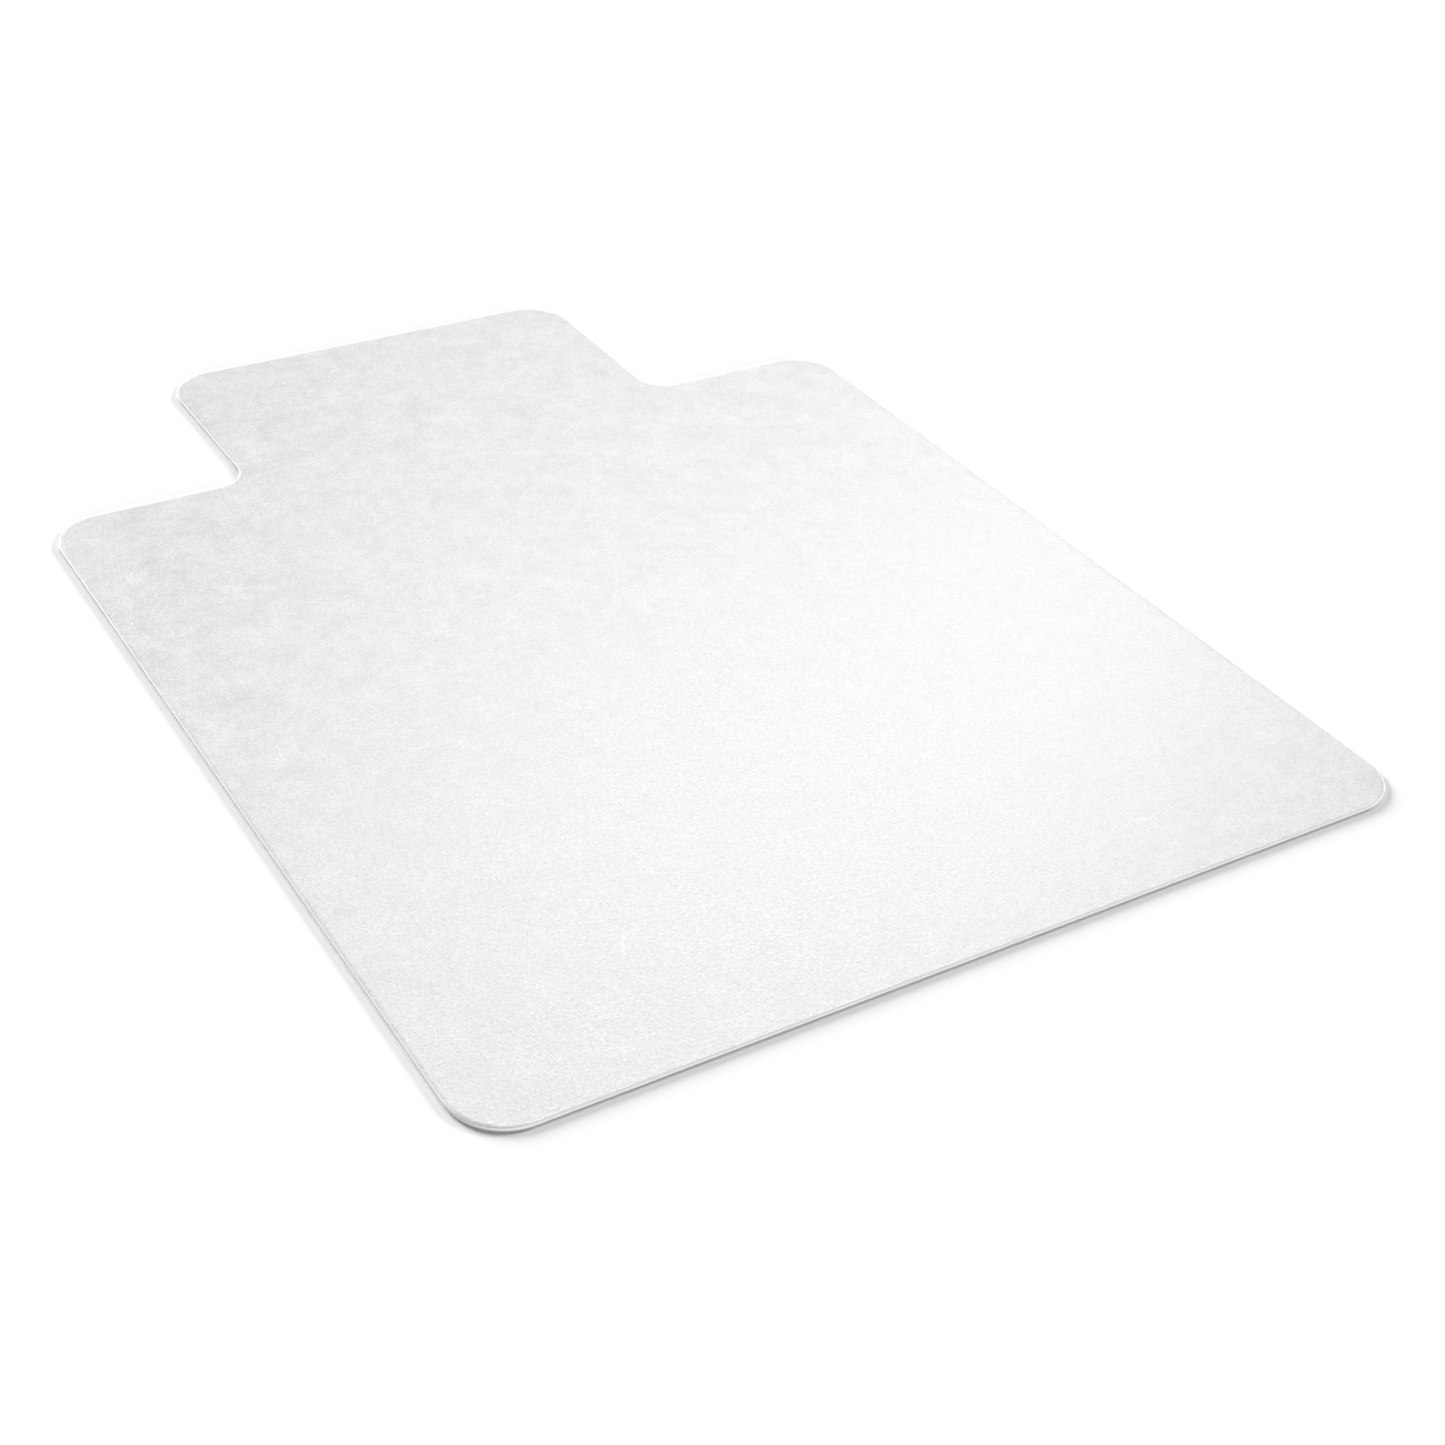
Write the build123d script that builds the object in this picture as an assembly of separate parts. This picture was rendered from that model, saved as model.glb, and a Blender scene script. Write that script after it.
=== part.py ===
from build123d import *
import os

# Chair mat for a hard floor: one die-cut vinyl laminate with a lip that runs in under the desk.
# The sheet lies flat. +X runs across its width, +Y runs towards the lip and +Z is up. The origin
# is the middle of the underside's bounding rectangle. Sizes are in millimetres.

INCH = 25.4

# Plan of the sheet
mat_width = 36 * INCH
mat_length = 48 * INCH
lip_width = 19 * INCH
lip_depth = 10 * INCH
corner_radius = 2 * INCH
notch_radius = 1.25 * INCH

# The three plies that are pressed together, from the floor up
base_ply_thickness = 0.9
core_ply_thickness = 1.1
top_ply_thickness = 1.0

# Easing cut round the upper edge of the top ply
bevel_width = 0.9
bevel_height = 0.6

# Lines of the plan, worked out from the sizes above
half_width = mat_width / 2
half_lip = lip_width / 2
front_y = -mat_length / 2
lip_end_y = mat_length / 2
shoulder_y = lip_end_y - lip_depth


def plan():
    """Outline of the die: the body rectangle, the two shoulders and the lip, as one closed face."""
    corners = [
        ((-half_width, front_y), corner_radius),
        ((half_width, front_y), corner_radius),
        ((half_width, shoulder_y), corner_radius),
        ((half_lip, shoulder_y), notch_radius),
        ((half_lip, lip_end_y), corner_radius),
        ((-half_lip, lip_end_y), corner_radius),
        ((-half_lip, shoulder_y), notch_radius),
        ((-half_width, shoulder_y), corner_radius),
    ]
    points = [point for point, radius in corners]
    radii = [radius for point, radius in corners]
    return make_face(FilletPolyline(*points, radius=radii, close=True))


def ply(bottom_z, thickness):
    """One flat ply of the laminate, cut to the plan, with its lower face at bottom_z."""
    return Pos(0, 0, bottom_z) * extrude(plan(), amount=thickness)


def base_ply():
    """Smooth ply that lies on the floor."""
    return ply(0, base_ply_thickness)


def core_ply():
    """Stiffening ply between the two outer plies."""
    return ply(base_ply_thickness, core_ply_thickness)


def top_ply():
    """Ply that the casters roll on, with its upper edge bevelled so that they climb it."""
    sheet = ply(base_ply_thickness + core_ply_thickness, top_ply_thickness)
    rolling_face = sheet.faces().sort_by(Axis.Z)[-1]
    return chamfer(rolling_face.edges(), length=bevel_width, length2=bevel_height, reference=rolling_face)


nodes = {
    "base_ply": base_ply(),
    "core_ply": core_ply(),
    "top_ply": top_ply(),
}

os.makedirs("parts", exist_ok=True)
for name, shape in nodes.items():
    shape.label = name
    export_step(shape, f"parts/{name}.step")
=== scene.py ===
import math

import bpy
import numpy as np
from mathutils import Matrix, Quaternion, Vector


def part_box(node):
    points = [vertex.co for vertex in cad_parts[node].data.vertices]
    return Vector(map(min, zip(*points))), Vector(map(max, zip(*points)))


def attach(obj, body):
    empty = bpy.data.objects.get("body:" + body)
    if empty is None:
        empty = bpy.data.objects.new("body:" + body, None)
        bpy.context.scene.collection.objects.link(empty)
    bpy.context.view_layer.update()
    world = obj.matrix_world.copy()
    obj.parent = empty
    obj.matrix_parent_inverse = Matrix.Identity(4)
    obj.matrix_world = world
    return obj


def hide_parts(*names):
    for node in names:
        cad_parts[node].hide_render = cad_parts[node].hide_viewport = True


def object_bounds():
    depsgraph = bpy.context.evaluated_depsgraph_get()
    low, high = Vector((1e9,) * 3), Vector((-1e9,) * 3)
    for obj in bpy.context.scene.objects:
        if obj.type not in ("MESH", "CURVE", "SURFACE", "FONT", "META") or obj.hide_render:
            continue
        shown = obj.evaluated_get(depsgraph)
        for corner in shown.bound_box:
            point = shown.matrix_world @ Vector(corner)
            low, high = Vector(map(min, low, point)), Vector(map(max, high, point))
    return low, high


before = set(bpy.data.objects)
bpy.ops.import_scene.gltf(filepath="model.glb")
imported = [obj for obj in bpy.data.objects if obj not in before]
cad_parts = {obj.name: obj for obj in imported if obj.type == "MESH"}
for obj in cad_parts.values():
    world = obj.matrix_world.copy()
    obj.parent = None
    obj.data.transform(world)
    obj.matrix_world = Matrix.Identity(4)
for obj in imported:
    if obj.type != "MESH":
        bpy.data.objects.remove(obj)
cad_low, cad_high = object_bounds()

# A lipped chair mat: one press-laminated vinyl sheet of three plies, die-cut to a T-shaped plan.
# +X runs across the sheet, +Y towards the lip and +Z up. Everything is in metres.

INCH = 0.0254
MILLIMETRE = 0.001

# ---------------------------------------------------------------- the plan of the sheet

LIP_WIDTH = 19 * INCH
LIP_DEPTH = 10 * INCH
CORNER_RADIUS = 2 * INCH
NOTCH_RADIUS = 1.25 * INCH

HALF_WIDTH = cad_high.x
HALF_LIP = LIP_WIDTH / 2
FRONT = cad_low.y
LIP_END = cad_high.y
SHOULDER = LIP_END - LIP_DEPTH

ARC_STEPS = 18            # steps round each quarter turn of the outline
EMBOSS_PITCH = 3.5 * MILLIMETRE   # grid of the embossed face
PLAIN_PITCH = 45 * MILLIMETRE     # grid of a flat face


def steps_along(length, pitch):
    """How many steps of about one pitch fill a length."""
    return max(1, round(length / pitch))


def row_spans(inset):
    """Half-width and y of every grid row, front to lip, for the plan drawn in by inset.

    The corner centres stay where they are while the plan is drawn in, so an outer corner's radius
    shrinks by the inset and a notch corner's grows by it. On a quarter turn the rows stand at equal
    angles t: y moves by radius * sin(t) and the half-width by radius * cos(t).
    """
    turn = np.linspace(0, math.pi / 2, ARC_STEPS + 1)
    outer = CORNER_RADIUS - inset
    inner = NOTCH_RADIUS + inset
    body_side = HALF_WIDTH - CORNER_RADIUS
    lip_side = HALF_LIP - CORNER_RADIUS
    notch_side = HALF_LIP + NOTCH_RADIUS
    return {
        "front": (body_side + outer * np.sin(turn), FRONT + CORNER_RADIUS - outer * np.cos(turn)),
        "shoulder": (body_side + outer * np.cos(turn), SHOULDER - CORNER_RADIUS + outer * np.sin(turn)),
        "notch": (notch_side - inner * np.sin(turn), SHOULDER + NOTCH_RADIUS - inner * np.cos(turn)),
        "lip_end": (lip_side + outer * np.cos(turn), LIP_END - CORNER_RADIUS + outer * np.sin(turn)),
    }


def straight_rows(first, last, pitch):
    """Half-width and y of the rows strictly between two rows, evenly spaced."""
    (half, start), (_, stop) = first, last
    y = np.linspace(start, stop, steps_along(stop - start, pitch) + 1)[1:-1]
    return np.full(len(y), half), y


def joined_rows(before, after, pitch):
    """The rows of one turn, the straight rows up to the next turn, and the rows of that turn."""
    first = (before[0][-1], before[1][-1])
    last = (after[0][0], after[1][0])
    middle = straight_rows(first, last, pitch)
    return tuple(np.concatenate([before[k], middle[k], after[k]]) for k in (0, 1))


def plan_grid(inset, pitch):
    """x and y of all grid points of the plan drawn in by inset, with the grid's shape.

    A point is a function of its column s and its row r. On the body, the columns between the two
    notches keep their x, and those outside are spread evenly from the notch to the row's end. On
    the lip, x is s times the row's half-width, with s even from -1 to 1.
    """
    spans = row_spans(inset)
    half_body, y_body = joined_rows(spans["front"], spans["shoulder"], pitch)
    half_lip, y_lip = joined_rows(spans["notch"], spans["lip_end"], pitch)
    middle_half = HALF_LIP + NOTCH_RADIUS
    n_middle = steps_along(2 * middle_half, pitch)
    n_side = steps_along(HALF_WIDTH - middle_half, pitch)
    s = np.linspace(-1, 1, n_middle + 1)
    spread = np.linspace(0, 1, n_side + 1)[1:]
    side = middle_half + spread[None, :] * (half_body[:, None] - middle_half)
    centre = np.broadcast_to(s * middle_half, (len(y_body), n_middle + 1))
    x_body = np.hstack([-side[:, ::-1], centre, side])
    x_lip = s[None, :] * half_lip[1:, None]
    x = np.concatenate([x_body.ravel(), x_lip.ravel()])
    y = np.concatenate([np.repeat(y_body, x_body.shape[1]), np.repeat(y_lip[1:], len(s))])
    return x, y, (len(y_body), n_side, n_middle, len(y_lip))


def grid_faces(shape):
    """Quads of the plan's grid, and the loop of its outline points, counter-clockwise from above."""
    rows_body, n_side, n_middle, rows_lip = shape
    columns = 2 * n_side + n_middle + 1
    body = np.arange(rows_body * columns).reshape(rows_body, columns)
    lip_new = body.size + np.arange((rows_lip - 1) * (n_middle + 1)).reshape(rows_lip - 1, -1)
    lip = np.vstack([body[-1, n_side:n_side + n_middle + 1], lip_new])
    quads = [
        np.stack([g[:-1, :-1], g[:-1, 1:], g[1:, 1:], g[1:, :-1]], axis=-1).reshape(-1, 4)
        for g in (body, lip)
    ]
    loop = np.concatenate([
        body[0],
        body[1:, -1],
        body[-1, n_side + n_middle:-1][::-1],
        lip[1:, -1],
        lip[-1, :-1][::-1],
        lip[1:-1, 0][::-1],
        body[-1, :n_side + 1][::-1],
        body[1:-1, 0][::-1],
    ])
    return np.concatenate(quads), loop


# ---------------------------------------------------------------- the embossed grain

REPEAT_ACROSS = 324 * MILLIMETRE   # the embossing roller's repeat
REPEAT_ALONG = 264 * MILLIMETRE
GRAIN_SIZE = 7.5 * MILLIMETRE      # the grain's main wavelength
GRAIN_SPREAD = 0.35                # width of the band of wavelengths, as a share of the main one
GRAIN_DEPTH = 0.022 * MILLIMETRE   # standard deviation of the height
GRAIN_LIMIT = 2.6                  # the roller's depth, in standard deviations
RELIEF_STEP = 1 * MILLIMETRE


def roller_relief():
    """Heights pressed by one turn of the embossing roller, as a tile that repeats without a seam.

    White noise is filtered in frequency to a bell-shaped band about one over the grain size, which
    makes it periodic over the tile, and its highest peaks and deepest pits are levelled off by tanh.
    """
    random = np.random.default_rng(11)
    shape = (round(REPEAT_ALONG / RELIEF_STEP), round(REPEAT_ACROSS / RELIEF_STEP))
    noise = np.fft.fft2(random.standard_normal(shape))
    along = np.fft.fftfreq(shape[0], RELIEF_STEP)[:, None]
    across = np.fft.fftfreq(shape[1], RELIEF_STEP)[None, :]
    pitch = np.hypot(along, across) * GRAIN_SIZE
    band = np.exp(-((pitch - 1) / GRAIN_SPREAD) ** 2)
    heights = np.real(np.fft.ifft2(noise * band))
    heights /= heights.std()
    return GRAIN_LIMIT * np.tanh(heights / GRAIN_LIMIT) * GRAIN_DEPTH


def emboss(x, y):
    """Height of the embossed grain at x, y: the roller's tile, repeated and read bilinearly."""
    tile = roller_relief()
    rows, columns = tile.shape
    column = np.floor(x / RELIEF_STEP).astype(int)
    row = np.floor(y / RELIEF_STEP).astype(int)
    across = x / RELIEF_STEP - column
    along = y / RELIEF_STEP - row
    near = tile[row % rows, column % columns] * (1 - across)
    near += tile[row % rows, (column + 1) % columns] * across
    far = tile[(row + 1) % rows, column % columns] * (1 - across)
    far += tile[(row + 1) % rows, (column + 1) % columns] * across
    return near * (1 - along) + far * along


# ---------------------------------------------------------------- meshes of the plies

SMOOTH_LIMIT = math.radians(24)    # edges sharper than this keep a crisp line

FACE, EDGE = 0, 1                  # material slots of a ply


def edge_rings(profile, pitch, loop, first_index):
    """The profile carried round the outline, as one ring of points for each of its later stations.

    A station (inset, z) puts the outline, drawn in by inset, at height z. Each ring is joined to the
    one above it by a band of quads.
    """
    points = []
    bands = []
    above = loop
    for number, (inset, z) in enumerate(profile[1:]):
        x, y, _ = plan_grid(inset, pitch)
        points.append(np.column_stack([x[loop], y[loop], np.full(len(loop), z)]))
        below = first_index + number * len(loop) + np.arange(len(loop))
        bands.append(np.column_stack([above, below, np.roll(below, -1), np.roll(above, -1)]))
        above = below
    return np.concatenate(points), np.concatenate(bands), above


def ply_mesh(name, pitch, profile, relief=None):
    """A closed ply: an upper face on the plan's grid, an edge and one flat face underneath.

    The upper face is z = level + relief(x, y). The edge is the profile carried round the outline.
    """
    inset, level = profile[0]
    x, y, shape = plan_grid(inset, pitch)
    quads, loop = grid_faces(shape)
    z = np.full(len(x), level)
    if relief is not None:
        z += relief(x, y)
    rings, bands, lowest = edge_rings(profile, pitch, loop, len(x))
    points = np.concatenate([np.column_stack([x, y, z]), rings])
    faces = quads.tolist() + bands.tolist() + [lowest[::-1].tolist()]
    mesh = bpy.data.meshes.new(name)
    mesh.from_pydata(points.tolist(), [], faces)
    slots = np.full(len(faces), FACE)
    slots[len(quads):len(quads) + len(bands)] = EDGE
    mesh.polygons.foreach_set("material_index", slots)
    mesh.shade_smooth()
    mesh.set_sharp_from_angle(angle=SMOOTH_LIMIT)
    mesh.update()
    return mesh


def add_ply(name, node, mesh, materials):
    """Puts a ply into the scene in place of its CAD node."""
    piece = bpy.data.objects.new(name, mesh)
    bpy.context.scene.collection.objects.link(piece)
    for material in materials:
        mesh.materials.append(material)
    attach(piece, "root")
    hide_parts(node)


# ---------------------------------------------------------------- materials


class Graph:
    """A material's node graph, with short calls that add a node and wire it up."""

    def __init__(self, name):
        self.material = bpy.data.materials.new(name)
        self.material.use_nodes = True
        self.tree = self.material.node_tree
        self.shader = self.tree.nodes["Principled BSDF"]
        self.place = self.tree.nodes.new("ShaderNodeTexCoord").outputs["Object"]

    def node(self, kind, settings=None, **inputs):
        """A node with its settings and inputs. An input that is an output socket is wired."""
        made = self.tree.nodes.new(kind)
        for key, value in (settings or {}).items():
            setattr(made, key, value)
        for key, value in inputs.items():
            self.feed(made.inputs[key.replace("_", " ")], value)
        return made

    def feed(self, socket, value):
        """Wires an output socket to an input, or sets the input to a plain value."""
        if isinstance(value, bpy.types.NodeSocket):
            self.tree.links.new(value, socket)
        else:
            socket.default_value = value

    def stretched(self, scale):
        """Object coordinates times a scale on each axis."""
        return self.node("ShaderNodeMapping", Vector=self.place, Scale=scale).outputs["Vector"]

    def noise(self, size, detail=2.0, roughness=0.5, place=None):
        """Noise from 0 to 1 with features of about one size."""
        made = self.node(
            "ShaderNodeTexNoise",
            Vector=place or self.place,
            Scale=1 / size,
            Detail=detail,
            Roughness=roughness,
        )
        return made.outputs["Fac"]

    def scuffs(self, size, width):
        """1 along sparse curved hairlines: the walls of bent cells, kept only where a noise is high."""
        bend = self.node("ShaderNodeTexNoise", Vector=self.place, Scale=0.8 / size, Detail=1.0)
        bent = self.node("ShaderNodeVectorMath", {"operation": "MULTIPLY_ADD"})
        self.feed(bent.inputs[0], bend.outputs["Color"])
        bent.inputs[1].default_value = (size, size, size)
        self.feed(bent.inputs[2], self.place)
        walls = self.node(
            "ShaderNodeTexVoronoi",
            {"feature": "DISTANCE_TO_EDGE"},
            Vector=bent.outputs["Vector"],
            Scale=1 / size,
        )
        line = self.ranged(walls.outputs["Distance"], 0.0, width / size, 1.0, 0.0)
        here = self.ranged(self.noise(size, detail=1.0), 0.54, 0.60, 0.0, 1.0)
        return self.maths("MULTIPLY", line, here)

    def along(self, axis):
        """Distance along an axis of the object, in metres."""
        made = self.node("ShaderNodeVectorMath", {"operation": "DOT_PRODUCT"})
        self.feed(made.inputs[0], self.place)
        made.inputs[1].default_value = axis
        return made.outputs["Value"]

    def ranged(self, value, low, high, to_low, to_high):
        """The value moved from one range to another and clamped there."""
        made = self.node("ShaderNodeMapRange", Value=value)
        made.inputs["From Min"].default_value = low
        made.inputs["From Max"].default_value = high
        made.inputs["To Min"].default_value = to_low
        made.inputs["To Max"].default_value = to_high
        return made.outputs["Result"]

    def maths(self, operation, first, second):
        """One sum of two values, either of which may be a socket or a number."""
        made = self.node("ShaderNodeMath", {"operation": operation})
        self.feed(made.inputs[0], first)
        self.feed(made.inputs[1], second)
        return made.outputs["Value"]

    def blend(self, share, first, second):
        """One colour passing into another as share goes from 0 to 1."""
        made = self.node("ShaderNodeMix", {"data_type": "RGBA"})
        self.feed(made.inputs["Factor"], share)
        self.feed(made.inputs["A"], first)
        self.feed(made.inputs["B"], second)
        return made.outputs["Result"]

    def bump(self, height, depth, under=None):
        """Surface normal with the height, from 0 to 1, standing up by depth metres."""
        made = self.node("ShaderNodeBump", Height=height, Distance=depth, Strength=1.0)
        if under is not None:
            self.feed(made.inputs["Normal"], under)
        return made.outputs["Normal"]


VINYL_IOR = 1.53

# COOL and CREAMY are the two ends of the embossed face's painted highlight tint.
COOL = (-0.004, 0.028)             # shifts of red and of blue against green
CREAMY = (0.010, -0.012)
ROSY = (0.026, 0.018)
BLUISH = (0.0, 0.010)
DEEP, PALE = 0.58, 0.825           # the embossed face's mottling runs between these two levels


def grey(level, tint=(0.0, 0.0)):
    """An almost neutral grey, with a little more or less red and blue than green."""
    red, blue = tint
    return (level * (1 + red), level, level * (1 + blue), 1.0)


def embossed_vinyl():
    """Frosted vinyl, mottled at every size from 50 mm down to a grain, with faint curved scuffs.

    It is cool in tone at the back left and creamier towards the front right, a painted tint of the warm
    highlight, and cloudy rosy patches lie over both.
    """
    graph = Graph("embossed_vinyl")
    mottle = graph.noise(50 * MILLIMETRE, detail=4.0, roughness=1.0)
    share = graph.ranged(mottle, 0.25, 0.75, 0.0, 1.0)
    # Painted highlight tint: the base colour turns creamier towards the front right, where the warm
    # highlight falls, and cooler at the back left, away from it.
    uneven = graph.ranged(graph.noise(120 * MILLIMETRE, detail=3.0), 0.25, 0.75, -0.3, 0.3)
    front_right = graph.maths("ADD", graph.along((0.6, -0.8, 0.0)), uneven)
    painted_highlight_warmth = graph.ranged(front_right, -0.45, 0.35, 0.0, 1.0)
    deep = graph.blend(painted_highlight_warmth, grey(DEEP, COOL), grey(DEEP, CREAMY))
    pale = graph.blend(painted_highlight_warmth, grey(PALE, COOL), grey(PALE, CREAMY))
    body = graph.blend(share, deep, pale)
    rosy = graph.blend(share, grey(DEEP, ROSY), grey(PALE, ROSY))
    clouds = graph.ranged(graph.noise(40 * MILLIMETRE, detail=3.0), 0.40, 0.60, 0.0, 0.7)
    body = graph.blend(clouds, body, rosy)
    flecks = graph.noise(2.6 * MILLIMETRE, detail=3.0, roughness=0.9)
    body = graph.blend(graph.ranged(flecks, 0.32, 0.68, 0.58, 0.0), body, grey(0.34, (0.01, 0.01)))
    scuffs = graph.scuffs(80 * MILLIMETRE, 0.6 * MILLIMETRE)
    body = graph.blend(graph.maths("MULTIPLY", scuffs, 0.32), body, grey(0.90))
    graph.feed(graph.shader.inputs["Base Color"], body)
    graph.feed(graph.shader.inputs["Roughness"], graph.ranged(mottle, 0.3, 0.7, 0.31, 0.41))
    normal = graph.bump(graph.noise(3.2 * MILLIMETRE, detail=1.0), 0.09 * MILLIMETRE)
    normal = graph.bump(graph.noise(1.2 * MILLIMETRE, detail=2.0), 0.10 * MILLIMETRE, under=normal)
    normal = graph.bump(scuffs, 0.06 * MILLIMETRE, under=normal)
    graph.feed(graph.shader.inputs["Normal"], normal)
    graph.shader.inputs["IOR"].default_value = VINYL_IOR
    graph.shader.inputs["Specular IOR Level"].default_value = 0.42
    return graph.material


def cut_edge_vinyl():
    """The die-cut edge, with upright drag marks of the blade and a painted highlight on its bevel."""
    graph = Graph("cut_edge_vinyl")
    upright = graph.stretched((1.0, 1.0, 0.05))
    marks = graph.noise(1 * MILLIMETRE, detail=3.0, place=upright)
    patches = graph.noise(30 * MILLIMETRE)
    body = graph.blend(graph.ranged(marks, 0.3, 0.7, 0.0, 1.0), grey(0.64), grey(0.72))
    body = graph.blend(graph.ranged(patches, 0.3, 0.7, 0.0, 0.4), body, grey(0.60, BLUISH))
    # Painted highlight: the bevel above this height is painted paler than the rest of the cut edge.
    foot = cad_high.z - BEVEL_HEIGHT
    height = graph.along((0.0, 0.0, 1.0))
    painted_bevel_highlight = graph.ranged(height, foot - 0.1 * MILLIMETRE, foot + 0.2 * MILLIMETRE, 0.0, 1.0)
    body = graph.blend(painted_bevel_highlight, body, grey(0.86))
    graph.feed(graph.shader.inputs["Base Color"], body)
    graph.feed(graph.shader.inputs["Roughness"], graph.ranged(marks, 0.2, 0.8, 0.45, 0.65))
    graph.feed(graph.shader.inputs["Normal"], graph.bump(marks, 0.04 * MILLIMETRE))
    graph.shader.inputs["IOR"].default_value = VINYL_IOR
    graph.shader.inputs["Specular IOR Level"].default_value = 0.10
    return graph.material


def smooth_vinyl():
    """The plate-pressed underside: even and glossier, with a faint haze and fine press marks."""
    graph = Graph("smooth_vinyl")
    haze = graph.noise(160 * MILLIMETRE, detail=4.0)
    press = graph.noise(6 * MILLIMETRE, detail=3.0)
    body = graph.blend(graph.ranged(haze, 0.3, 0.7, 0.0, 1.0), grey(0.60, BLUISH), grey(0.65))
    graph.feed(graph.shader.inputs["Base Color"], body)
    graph.feed(graph.shader.inputs["Roughness"], graph.ranged(haze, 0.3, 0.7, 0.28, 0.40))
    graph.feed(graph.shader.inputs["Normal"], graph.bump(press, 0.08 * MILLIMETRE))
    graph.shader.inputs["IOR"].default_value = VINYL_IOR
    return graph.material


# ---------------------------------------------------------------- the three plies

BEVEL_WIDTH = 0.9 * MILLIMETRE
BEVEL_HEIGHT = 0.6 * MILLIMETRE
EASE = 0.1 * MILLIMETRE            # rounding on each side of the bevel
HEEL = 0.15 * MILLIMETRE           # rounding under the base ply's edge


def top_ply(materials):
    """The ply that the casters roll on: embossed, with a bevelled upper edge."""
    low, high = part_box("top_ply")
    level = high.z - GRAIN_LIMIT * GRAIN_DEPTH
    profile = [
        (BEVEL_WIDTH + 2 * EASE, level),
        (BEVEL_WIDTH - EASE, level - EASE),
        (EASE, high.z - BEVEL_HEIGHT + EASE / 2),
        (0.0, high.z - BEVEL_HEIGHT - EASE),
        (0.0, low.z),
    ]
    mesh = ply_mesh("top_ply_sheet", EMBOSS_PITCH, profile, relief=emboss)
    add_ply("top_ply_sheet", "top_ply", mesh, materials)


def core_ply(materials):
    """The stiffening ply, of which only the cut edge shows."""
    low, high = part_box("core_ply")
    mesh = ply_mesh("core_ply_sheet", PLAIN_PITCH, [(0.0, high.z), (0.0, low.z)])
    add_ply("core_ply_sheet", "core_ply", mesh, materials)


def base_ply(materials):
    """The smooth ply on the floor, with its lower edge just eased."""
    low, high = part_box("base_ply")
    profile = [(0.0, high.z), (0.0, low.z + HEEL), (HEEL, low.z)]
    mesh = ply_mesh("base_ply_sheet", PLAIN_PITCH, profile)
    add_ply("base_ply_sheet", "base_ply", mesh, materials)


# ---------------------------------------------------------------- floor, light and camera

FLOOR_SIZE = 30.0
FLOOR_GAP = 0.05 * MILLIMETRE


def direction(azimuth, elevation):
    """Unit vector. Azimuth 0 is along +Y and 90 along +X; elevation is above the floor, in degrees."""
    a, e = math.radians(azimuth), math.radians(elevation)
    return Vector((math.sin(a) * math.cos(e), math.cos(a) * math.cos(e), math.sin(e)))


def add_floor():
    """A plain white floor just under the mat."""
    half = FLOOR_SIZE / 2
    z = cad_low.z - FLOOR_GAP
    corners = [(-half, -half, z), (half, -half, z), (half, half, z), (-half, half, z)]
    mesh = bpy.data.meshes.new("floor")
    mesh.from_pydata(corners, [], [(0, 1, 2, 3)])
    floor = bpy.data.objects.new("floor", mesh)
    bpy.context.scene.collection.objects.link(floor)
    graph = Graph("floor_paper")
    tint = graph.noise(0.5)
    graph.feed(graph.shader.inputs["Base Color"], graph.blend(tint, grey(0.90), grey(0.91)))
    graph.shader.inputs["Roughness"].default_value = 0.9
    graph.shader.inputs["Specular IOR Level"].default_value = 0.0
    mesh.materials.append(graph.material)


WHITE = (1.0, 1.0, 1.0)
WARM = (1.0, 0.985, 0.975)

# Each row is a name, azimuth, elevation and width in degrees, strength and colour. The back and right
# lamps light the floor and throw the shadows forwards and left, and the front lamp lights the front
# cut edge. The gloss lamps are weak and stand high behind, where the top mirrors them to the camera.
LAMPS = [
    ("back", -7, 12, 20, 7.5, WHITE),
    ("right", 77, 17, 12, 2.8, WHITE),
    ("front", 186, 6, 12, 2.9, WHITE),
    ("gloss_left", 23, 43, 10, 0.31, WARM),
    ("gloss_lip", 22, 30, 10, 0.07, WARM),
    ("gloss_far", 30, 36, 10, 0.23, WARM),
    ("gloss_high", 36, 42, 10, 0.24, WARM),
    ("gloss_middle", 40, 35, 10, 0.26, WARM),
    ("gloss_right", 46, 32, 10, 0.32, WARM),
]
ROOM_LIGHT = 0.02


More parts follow.
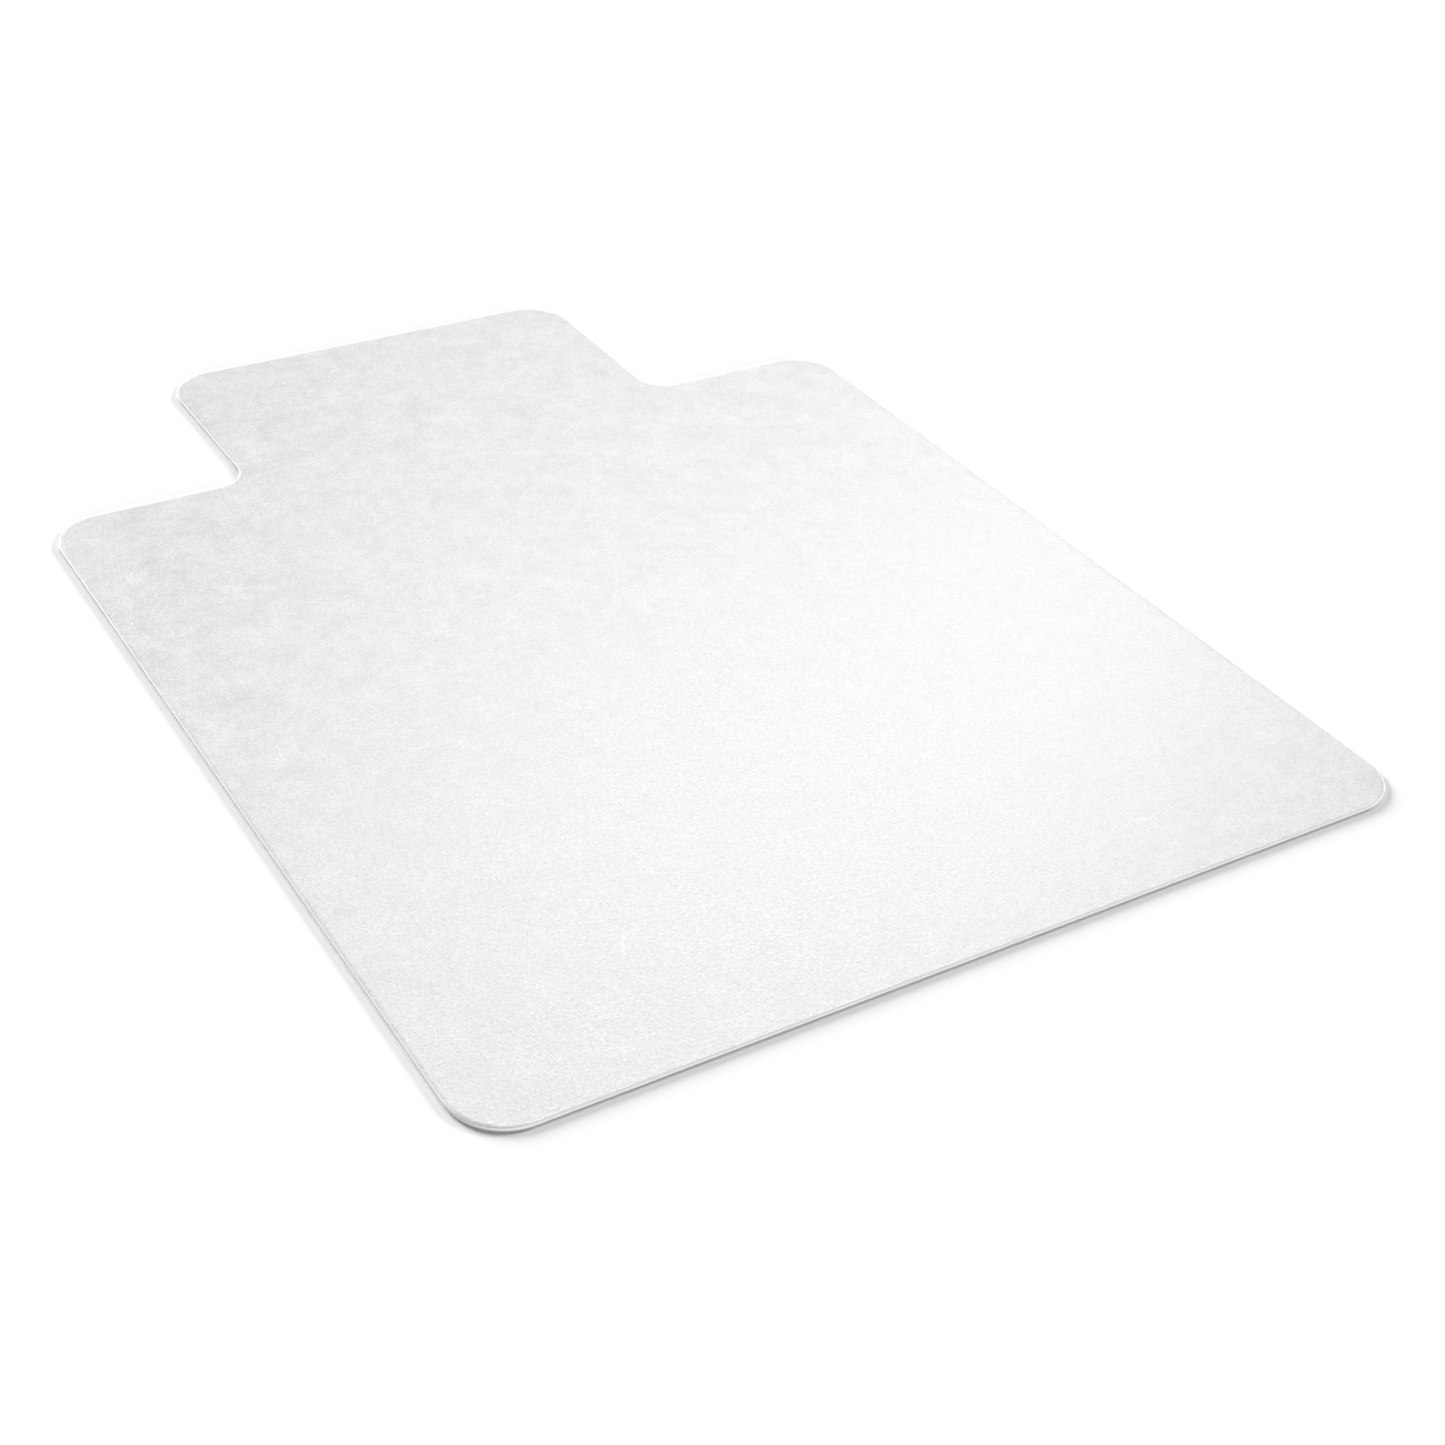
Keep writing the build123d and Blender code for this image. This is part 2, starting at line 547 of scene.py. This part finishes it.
def add_lamp(name, azimuth, elevation, width, strength, colour):
    """A far, wide studio lamp: a disc seen width degrees across, lighting everything evenly."""
    lamp = bpy.data.lights.new(name, "SUN")
    lamp.angle = math.radians(width)
    lamp.energy = strength
    lamp.color = colour
    stand = bpy.data.objects.new(name, lamp)
    bpy.context.scene.collection.objects.link(stand)
    stand.rotation_mode = "QUATERNION"
    stand.rotation_quaternion = direction(azimuth, elevation).to_track_quat("Z", "Y")


def add_room(strength):
    """Even white light from all round."""
    world = bpy.data.worlds.new("studio")
    world.use_nodes = True
    background = world.node_tree.nodes["Background"]
    background.inputs["Color"].default_value = (1.0, 1.0, 1.0, 1.0)
    background.inputs["Strength"].default_value = strength
    bpy.context.scene.world = world


CAMERA_AIM = Vector((-0.0556, -0.2255, 0.0))
CAMERA_AZIMUTH = 32.3              # the way it looks, turned from +Y towards +X
CAMERA_ELEVATION = 34.9
CAMERA_DISTANCE = 2.046
CAMERA_ROLL = 3.06
CAMERA_LENS = 56.7
CAMERA_SHIFT = 0.025


def add_camera():
    """Stands back from its aim along azimuth and elevation, and is rolled a little about its own axis."""
    data = bpy.data.cameras.new("camera")
    data.lens = CAMERA_LENS
    data.sensor_width = 36.0
    data.shift_x = CAMERA_SHIFT
    camera = bpy.data.objects.new("camera", data)
    bpy.context.scene.collection.objects.link(camera)
    back = direction(CAMERA_AZIMUTH + 180, CAMERA_ELEVATION)
    camera.location = CAMERA_AIM + back * CAMERA_DISTANCE
    camera.rotation_mode = "QUATERNION"
    roll = Quaternion((0, 0, 1), math.radians(CAMERA_ROLL))
    camera.rotation_quaternion = back.to_track_quat("Z", "Y") @ roll
    bpy.context.scene.camera = camera


# ---------------------------------------------------------------- the scene

edge = cut_edge_vinyl()
smooth = smooth_vinyl()
top_ply([embossed_vinyl(), edge])
core_ply([smooth, edge])
base_ply([smooth, edge])

add_floor()
add_room(ROOM_LIGHT)
for lamp_settings in LAMPS:
    add_lamp(*lamp_settings)
add_camera()
bpy.context.scene.view_settings.view_transform = "Standard"
